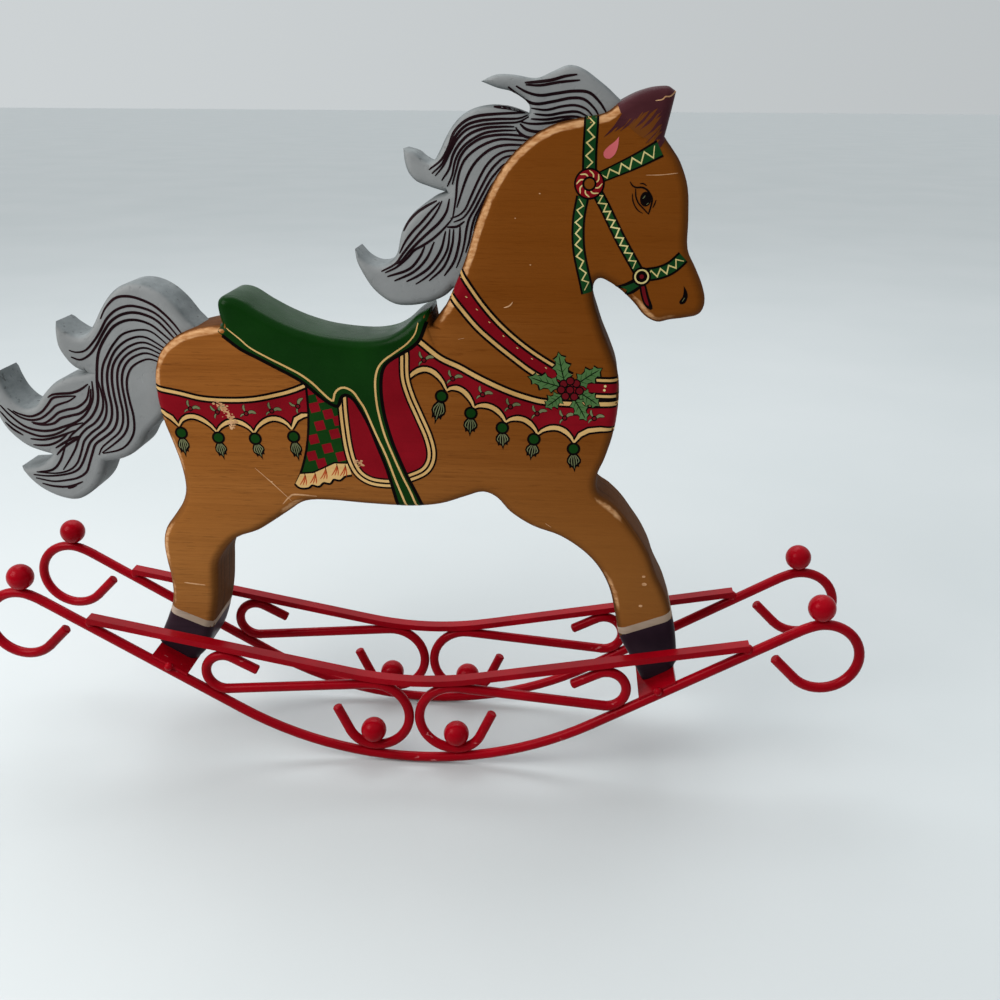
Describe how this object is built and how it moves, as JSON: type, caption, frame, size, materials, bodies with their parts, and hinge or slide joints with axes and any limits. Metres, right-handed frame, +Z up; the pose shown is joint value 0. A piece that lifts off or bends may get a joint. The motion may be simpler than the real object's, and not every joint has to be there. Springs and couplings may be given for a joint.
{
  "type": "rocking horse",
  "caption": "Painted flat wooden rocking horse with separate mane and tail boards, standing on a pair of bent-wire rockers with scrolls, straps and small balls.",
  "frame": {"origin": "middle of the bounding box, on the floor plane under the runners", "axes": "+X towards the horse's head, +Y towards its far side, +Z up; the runners touch the floor at X = 0"},
  "size_m": [0.2822, 0.0444, 0.2149],
  "materials": {
    "body_wood": "satin clear varnish over honey stained wood, with painted decoration",
    "hair_paint": "matt blue-grey paint with fine dark maroon hair lines",
    "red_enamel": "glossy crimson enamel",
    "zinc_screw": "dull zinc"
  },
  "bodies": {
    "root": {"horse_body": "body_wood", "mane": "hair_paint", "tail": "hair_paint", "rail_front": "red_enamel", "rail_back": "red_enamel", "top_bar_front": "red_enamel", "top_bar_back": "red_enamel", "scroll_front_left": "red_enamel", "scroll_front_right": "red_enamel", "scroll_back_left": "red_enamel", "scroll_back_right": "red_enamel", "end_ball_front_left": "red_enamel", "end_ball_front_right": "red_enamel", "end_ball_back_left": "red_enamel", "end_ball_back_right": "red_enamel", "curl_ball_front_left": "red_enamel", "curl_ball_front_right": "red_enamel", "curl_ball_back_left": "red_enamel", "curl_ball_back_right": "red_enamel", "rear_hoof_plate": "red_enamel", "front_hoof_plate": "red_enamel", "hoof_screws": "zinc_screw", "bar_welds": "red_enamel", "plate_welds": "red_enamel"}
  },
  "joints": []
}
